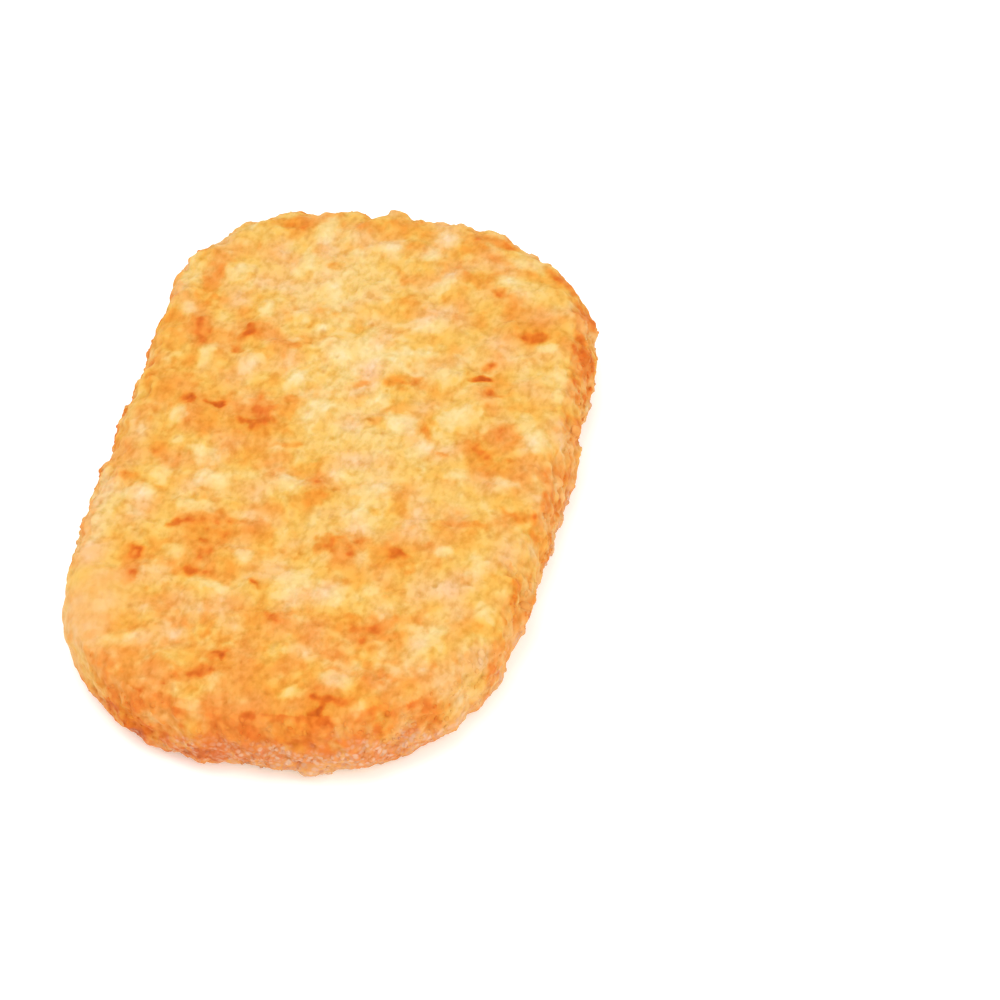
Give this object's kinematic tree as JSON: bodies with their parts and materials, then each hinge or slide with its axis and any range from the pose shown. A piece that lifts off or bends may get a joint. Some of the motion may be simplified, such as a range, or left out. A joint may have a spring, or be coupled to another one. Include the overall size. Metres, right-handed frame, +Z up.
{
  "type": "hash brown",
  "caption": "Oblong fried patty of shredded and chopped potato with rounded corners, served as a side.",
  "frame": {"origin": "on the flat underside, in the middle of the patty's length and width", "axes": "+X across the patty, +Y along its length towards the end with the tighter corners, +Z up through its thickness"},
  "size_m": [0.0673, 0.1055, 0.0144],
  "materials": {
    "fried_potato": null
  },
  "bodies": {
    "root": {"hash_brown": "fried_potato"}
  },
  "joints": []
}
